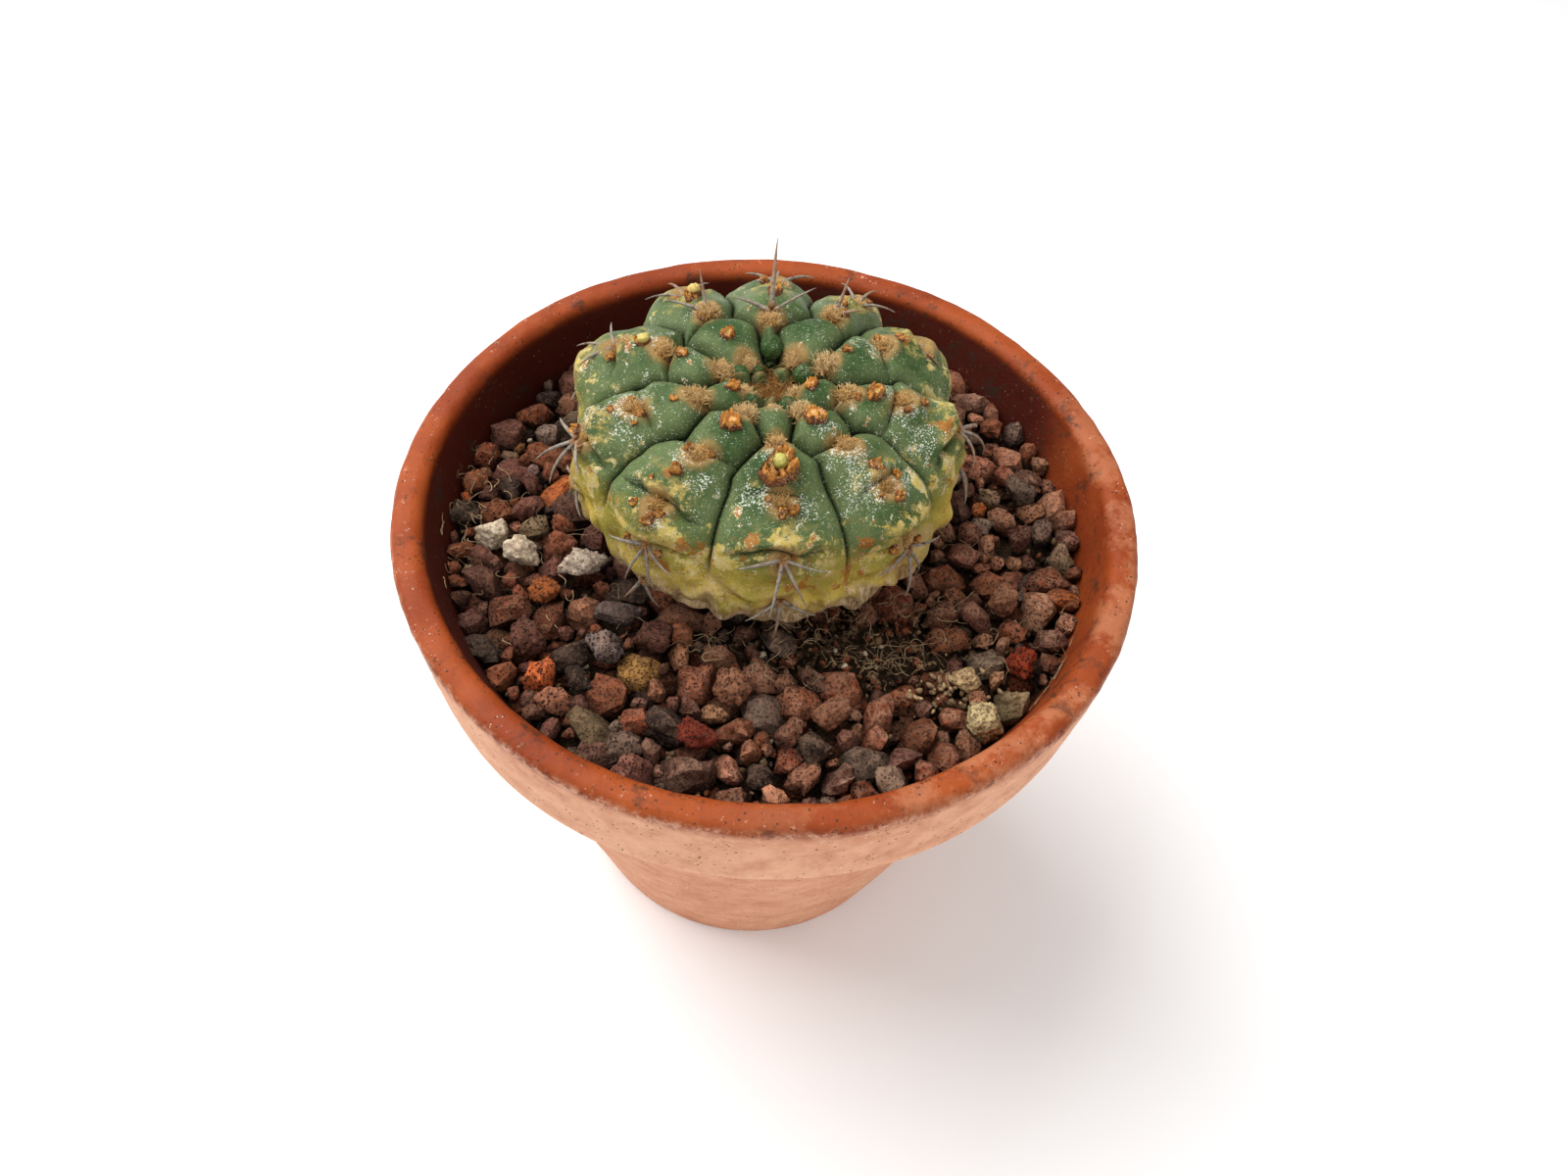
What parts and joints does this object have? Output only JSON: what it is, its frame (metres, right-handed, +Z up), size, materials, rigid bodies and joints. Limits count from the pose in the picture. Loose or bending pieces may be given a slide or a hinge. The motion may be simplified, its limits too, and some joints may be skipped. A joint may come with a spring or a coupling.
{
  "type": "potted round cactus",
  "caption": "Flattened, ribbed globe cactus with felted areoles and curved spines, growing in lava grit in a collared terracotta pot with a drainage hole.",
  "frame": {"origin": "centre of the pot's base, on the surface that it stands on", "axes": "+Z up along the pot's axis; -Y is the front of the plant"},
  "size_m": [0.14, 0.14, 0.1493],
  "materials": {
    "terracotta": "matte",
    "soil": "matte",
    "lava_grit": "matte",
    "cactus_skin": "satin",
    "spines": "matte",
    "dried_flower": "matte",
    "pumice": "matte",
    "grey_lava": "matte",
    "rust_lava": "matte",
    "purple_lava": "matte",
    "red_lava": "matte"
  },
  "bodies": {
    "root": {"back_left_bud": "dried_flower", "cactus_stem": "cactus_skin", "clay_pot": "terracotta", "cream_pumice_by_stem": "pumice", "cream_pumice_far_left": "pumice", "cream_pumice_front_right": "pumice", "cream_pumice_left": "pumice", "front_bud": "dried_flower", "front_left_stub": "dried_flower", "front_right_stub": "dried_flower", "gravel_bed": "lava_grit", "grey_stone_front_left": "grey_lava", "grey_stone_right": "grey_lava", "left_back_stub": "dried_flower", "purple_stone_front_left": "purple_lava", "purple_stone_left": "purple_lava", "purple_stone_right": "purple_lava", "red_stone_back": "red_lava", "red_stone_front": "red_lava", "red_stone_front_left": "red_lava", "red_stone_front_right": "red_lava", "red_stone_right": "red_lava", "right_stub": "dried_flower", "root_ball_soil": "soil", "rust_stone_front_right": "rust_lava", "rust_stone_left": "rust_lava", "slate_stone_front_left": "grey_lava", "spine_tuft_back_left_low": "spines", "spine_tuft_back_left_middle": "spines", "spine_tuft_back_left_upper": "spines", "spine_tuft_back_low": "spines", "spine_tuft_back_middle": "spines", "spine_tuft_back_right_low": "spines", "spine_tuft_back_right_middle": "spines", "spine_tuft_back_right_upper": "spines", "spine_tuft_back_upper": "spines", "spine_tuft_front_left_low": "spines", "spine_tuft_front_left_middle": "spines", "spine_tuft_front_low": "spines", "spine_tuft_front_middle": "spines", "spine_tuft_front_right_middle": "spines", "spine_tuft_left_back_low": "spines", "spine_tuft_left_back_middle": "spines", "spine_tuft_left_low": "spines", "spine_tuft_left_middle": "spines", "spine_tuft_right_back_low": "spines", "spine_tuft_right_back_middle": "spines", "spine_tuft_right_low": "spines", "spine_tuft_right_middle": "spines", "tan_pumice_front_right": "pumice"}
  },
  "joints": []
}
